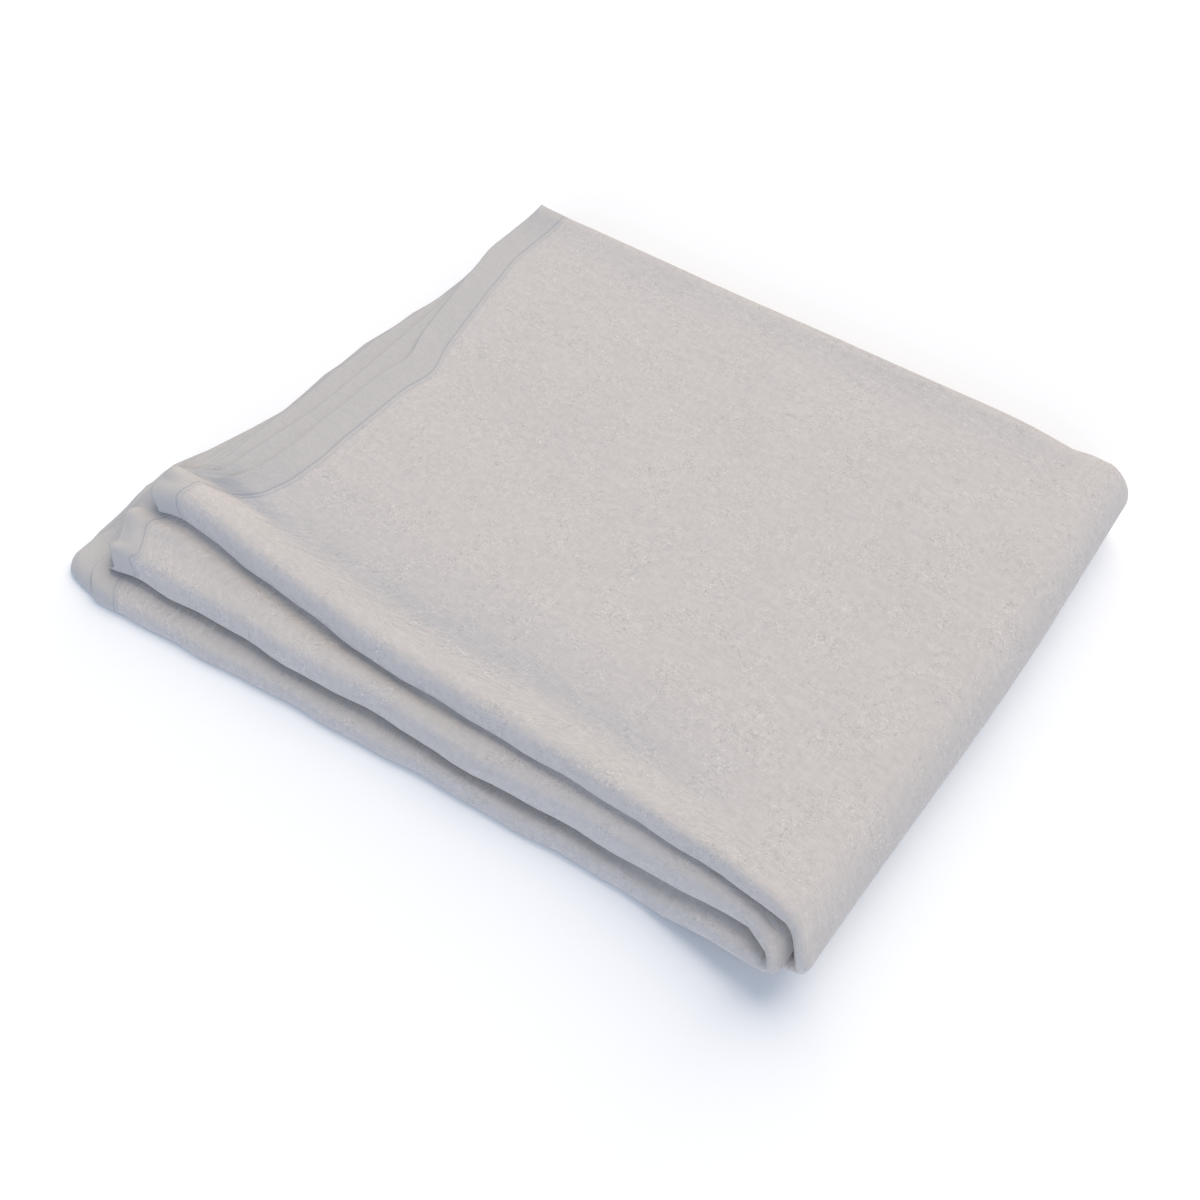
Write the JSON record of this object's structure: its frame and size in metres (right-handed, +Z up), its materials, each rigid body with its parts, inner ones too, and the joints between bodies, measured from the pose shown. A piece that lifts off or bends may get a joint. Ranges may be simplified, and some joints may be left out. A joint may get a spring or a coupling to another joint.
{
  "type": "folded turban cloth",
  "caption": "Long plain cotton turban cloth folded lengthwise into soft rolls, then once in half, lying flat as a square bundle.",
  "frame": {"origin": "middle of the footprint, on the surface that the bundle lies on", "axes": "+X from the open hem side to the folded spine, +Y from the rolls at the front to the back edge, +Z up"},
  "size_m": [0.5562, 0.4896, 0.0475],
  "materials": {
    "cotton": "matt plain woven cotton"
  },
  "bodies": {
    "root": {"cloth": "cotton"}
  },
  "joints": []
}
